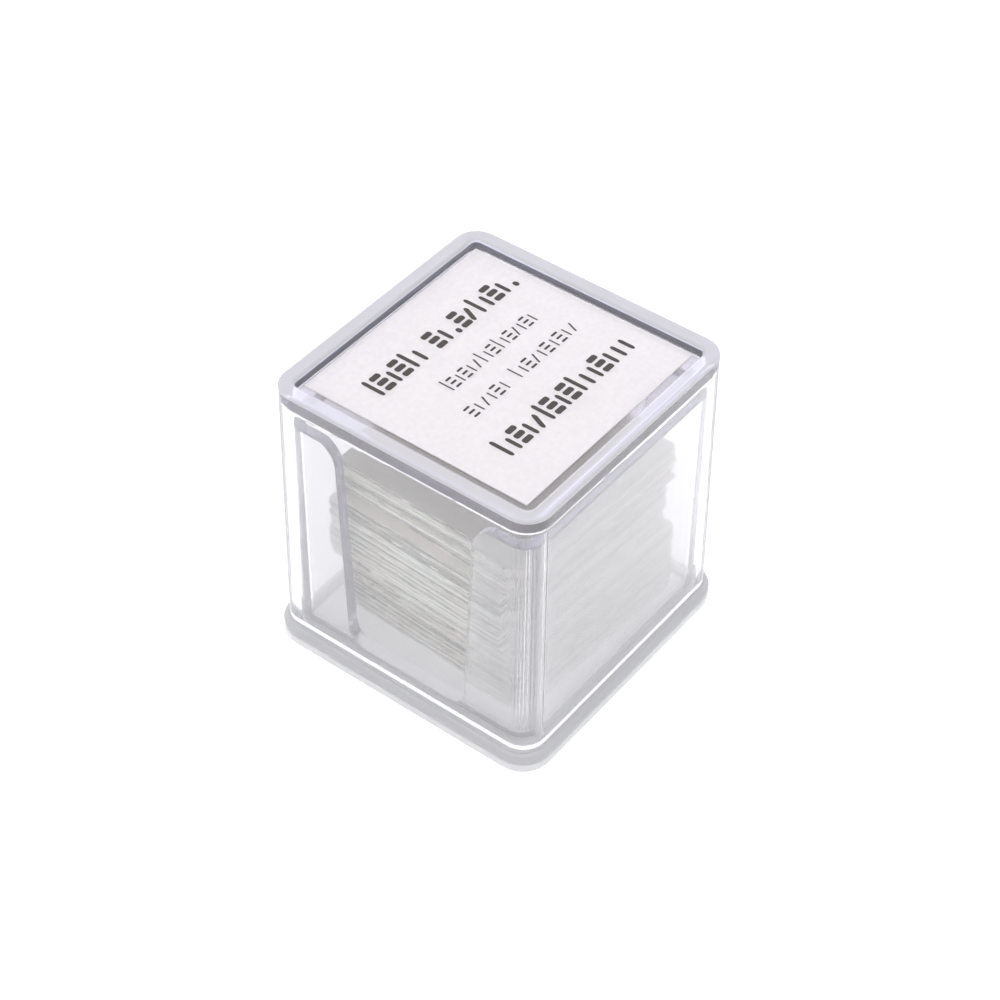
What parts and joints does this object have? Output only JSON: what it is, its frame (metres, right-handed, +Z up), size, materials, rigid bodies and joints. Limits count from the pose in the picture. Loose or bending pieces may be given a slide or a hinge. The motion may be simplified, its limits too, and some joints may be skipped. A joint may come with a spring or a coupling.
{
  "type": "cover glass dispenser box",
  "caption": "Small clear square box with a raised base plate and slotted inner tray holding a stack of thin cover glasses under a slip-over lid with a recessed paper label.",
  "frame": {"origin": "centre of the underside of the base plate, where the box stands", "axes": "+Z up; +X along the label's reading direction; +Y towards the label's upper edge; the finger slots of the tray face -X and +X"},
  "size_m": [0.0272, 0.0272, 0.0273],
  "materials": {
    "clear_polystyrene_base": "clear, polished, faint lavender cast at the edges",
    "clear_polystyrene_lid": "clear, polished, faint lavender cast at the edges",
    "label_paper": "matt white, printed with plain dark bars",
    "cover_glass_lower": "clear, polished, greenish grey edge on",
    "cover_glass_upper": "clear, polished, greenish grey edge on",
    "cover_glass_top": "clear, polished"
  },
  "bodies": {
    "base": {"base_tray": "clear_polystyrene_base"},
    "lid": {"lid": "clear_polystyrene_lid", "label": "label_paper"},
    "lower_glasses": {"pair_lower_01": "cover_glass_lower", "pair_lower_02": "cover_glass_lower", "pair_lower_03": "cover_glass_lower", "pair_lower_04": "cover_glass_lower", "pair_lower_05": "cover_glass_lower", "pair_lower_06": "cover_glass_lower", "pair_lower_07": "cover_glass_lower", "pair_lower_08": "cover_glass_lower", "pair_lower_09": "cover_glass_lower", "pair_lower_10": "cover_glass_lower", "pair_lower_11": "cover_glass_lower", "pair_lower_12": "cover_glass_lower", "pair_lower_13": "cover_glass_lower", "pair_lower_14": "cover_glass_lower", "pair_lower_15": "cover_glass_lower", "pair_lower_16": "cover_glass_lower", "pair_lower_17": "cover_glass_lower", "pair_lower_18": "cover_glass_lower", "pair_lower_19": "cover_glass_lower", "pair_lower_20": "cover_glass_lower", "pair_lower_21": "cover_glass_lower", "pair_lower_22": "cover_glass_lower"},
    "upper_glasses": {"pair_upper_01": "cover_glass_upper", "pair_upper_02": "cover_glass_upper", "pair_upper_03": "cover_glass_upper", "pair_upper_04": "cover_glass_upper", "pair_upper_05": "cover_glass_upper", "pair_upper_06": "cover_glass_upper", "pair_upper_07": "cover_glass_upper", "pair_upper_08": "cover_glass_upper", "pair_upper_09": "cover_glass_upper", "pair_upper_10": "cover_glass_upper", "pair_upper_11": "cover_glass_upper", "pair_upper_12": "cover_glass_upper", "pair_upper_13": "cover_glass_upper", "pair_upper_14": "cover_glass_upper", "pair_upper_15": "cover_glass_upper", "pair_upper_16": "cover_glass_upper", "pair_upper_17": "cover_glass_upper", "pair_upper_18": "cover_glass_upper"},
    "fanned_glasses": {"glass_fanned_04": "cover_glass_top", "glass_fanned_05": "cover_glass_top", "glass_fanned_06": "cover_glass_top", "glass_fanned_07": "cover_glass_top", "glass_fanned_08": "cover_glass_top", "glass_fanned_09": "cover_glass_top", "glass_fanned_10": "cover_glass_top", "glass_fanned_11": "cover_glass_top", "glass_fanned_12": "cover_glass_top", "glass_fanned_13": "cover_glass_top", "glass_fanned_14": "cover_glass_top", "glass_fanned_15": "cover_glass_top", "glass_fanned_16": "cover_glass_top", "pair_fanned_01": "cover_glass_top", "pair_fanned_02": "cover_glass_top", "pair_fanned_03": "cover_glass_top"},
    "top_glass": {"glass_top": "cover_glass_top"}
  },
  "joints": [
    {"name": "lid_lift", "type": "slide", "parent": "base", "child": "lid", "axis": [0, 0, 1], "range_m": [0, 0.03]},
    {"name": "lower_glasses_slide", "type": "slide", "parent": "base", "child": "lower_glasses", "axis": [1, 0, 0], "range_m": [-0.0016, 0.00025]},
    {"name": "upper_glasses_slide", "type": "slide", "parent": "base", "child": "upper_glasses", "axis": [0, 1, 0], "range_m": [-0.0006, 0.0012]},
    {"name": "fanned_glasses_turn", "type": "hinge", "parent": "base", "child": "fanned_glasses", "pos_m": [0.0001, -0.0003, 0.0157], "axis": [0, 0, 1], "range_deg": [-3, 3]},
    {"name": "top_glass_lift", "type": "slide", "parent": "base", "child": "top_glass", "axis": [0, 0, 1], "range_m": [0, 0.0063]}
  ]
}
